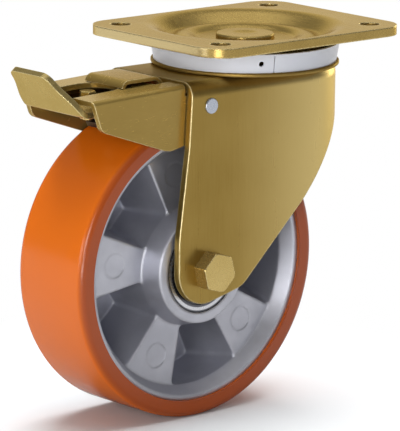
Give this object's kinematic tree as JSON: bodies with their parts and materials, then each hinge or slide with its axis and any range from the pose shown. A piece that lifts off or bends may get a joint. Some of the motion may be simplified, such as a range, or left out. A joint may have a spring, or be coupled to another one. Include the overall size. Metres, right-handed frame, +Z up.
{
  "type": "swivel castor",
  "caption": "Heavy-duty swivel castor: drilled top plate, ball-race swivel, pressed fork, polyurethane-tyred wheel on ball bearings, and a foot brake over the tyre.",
  "frame": {"origin": "centre of the four-bolt pattern on the top plate's upper face, on the swivel axis", "axes": "+Z up out of the plate along the swivel axis, -X the way the wheel trails at rest, -Y the axle bolt's head side"},
  "size_m": [0.2151, 0.11, 0.2],
  "materials": {
    "zinc_gold": "yellow-passivated zinc plate, glossy",
    "zinc_silver": "bright zinc plate",
    "bearing_steel": "ground and polished",
    "grey_plastic": "smooth moulded",
    "cast_aluminium": "die cast, satin",
    "orange_polyurethane": "cast elastomer, glossy tread"
  },
  "bodies": {
    "plate": {"top_plate": "zinc_gold", "king_pin": "zinc_silver", "king_nut": "zinc_gold", "pin_cone": "zinc_gold"},
    "upper_row": {"upper_cage": "zinc_gold", "upper_balls": "bearing_steel"},
    "lower_row": {"lower_cage": "zinc_gold", "lower_balls": "bearing_steel"},
    "fork": {"fork": "zinc_gold", "race_disc": "zinc_gold", "crown_cup": "zinc_gold", "dust_ring": "grey_plastic", "brake_pin": "zinc_silver", "leaf_spring": "zinc_gold", "spring_rivets": "zinc_silver", "axle_bolt": "zinc_gold", "axle_nut": "zinc_gold", "spacer_tube": "zinc_silver", "side_washers": "zinc_silver", "bearing_inner_rings": "bearing_steel"},
    "wheel": {"wheel_centre": "cast_aluminium", "tyre": "orange_polyurethane", "bearing_outer_rings": "bearing_steel", "bearing_shields": "bearing_steel"},
    "bearing_row": {"bearing_cages": "bearing_steel", "bearing_balls": "bearing_steel"},
    "lever": {"brake_lever": "zinc_gold"},
    "pedal": {"release_pedal": "zinc_gold", "brake_shoe": "zinc_silver", "shoe_screws": "zinc_silver", "shoe_nuts": "zinc_gold"}
  },
  "joints": [
    {"name": "swivel", "type": "hinge", "parent": "plate", "child": "fork", "pos_m": [0, 0, 0], "axis": [0, 0, 1], "continuous": true},
    {"name": "upper_row_turn", "type": "hinge", "parent": "plate", "child": "upper_row", "pos_m": [0, 0, 0], "axis": [0, 0, 1], "continuous": true},
    {"name": "lower_row_turn", "type": "hinge", "parent": "plate", "child": "lower_row", "pos_m": [0, 0, 0], "axis": [0, 0, 1], "continuous": true},
    {"name": "wheel_spin", "type": "hinge", "parent": "fork", "child": "wheel", "pos_m": [-0.053, 0, -0.12], "axis": [0, 1, 0], "continuous": true},
    {"name": "bearing_row_turn", "type": "hinge", "parent": "fork", "child": "bearing_row", "pos_m": [-0.053, 0, -0.12], "axis": [0, 1, 0], "continuous": true},
    {"name": "lever_press", "type": "hinge", "parent": "fork", "child": "lever", "pos_m": [-0.053, 0, -0.033], "axis": [0, -1, 0], "range_deg": [0, 4.5]},
    {"name": "pedal_release", "type": "hinge", "parent": "lever", "child": "pedal", "pos_m": [-0.053, 0, -0.033], "axis": [0, 1, 0], "range_deg": [0, 2.2]}
  ],
  "couplings": [
    {"joint": "upper_row_turn", "follows": "swivel", "ratio": 0.5},
    {"joint": "lower_row_turn", "follows": "swivel", "ratio": 0.5},
    {"joint": "bearing_row_turn", "follows": "wheel_spin", "ratio": 0.6185}
  ]
}
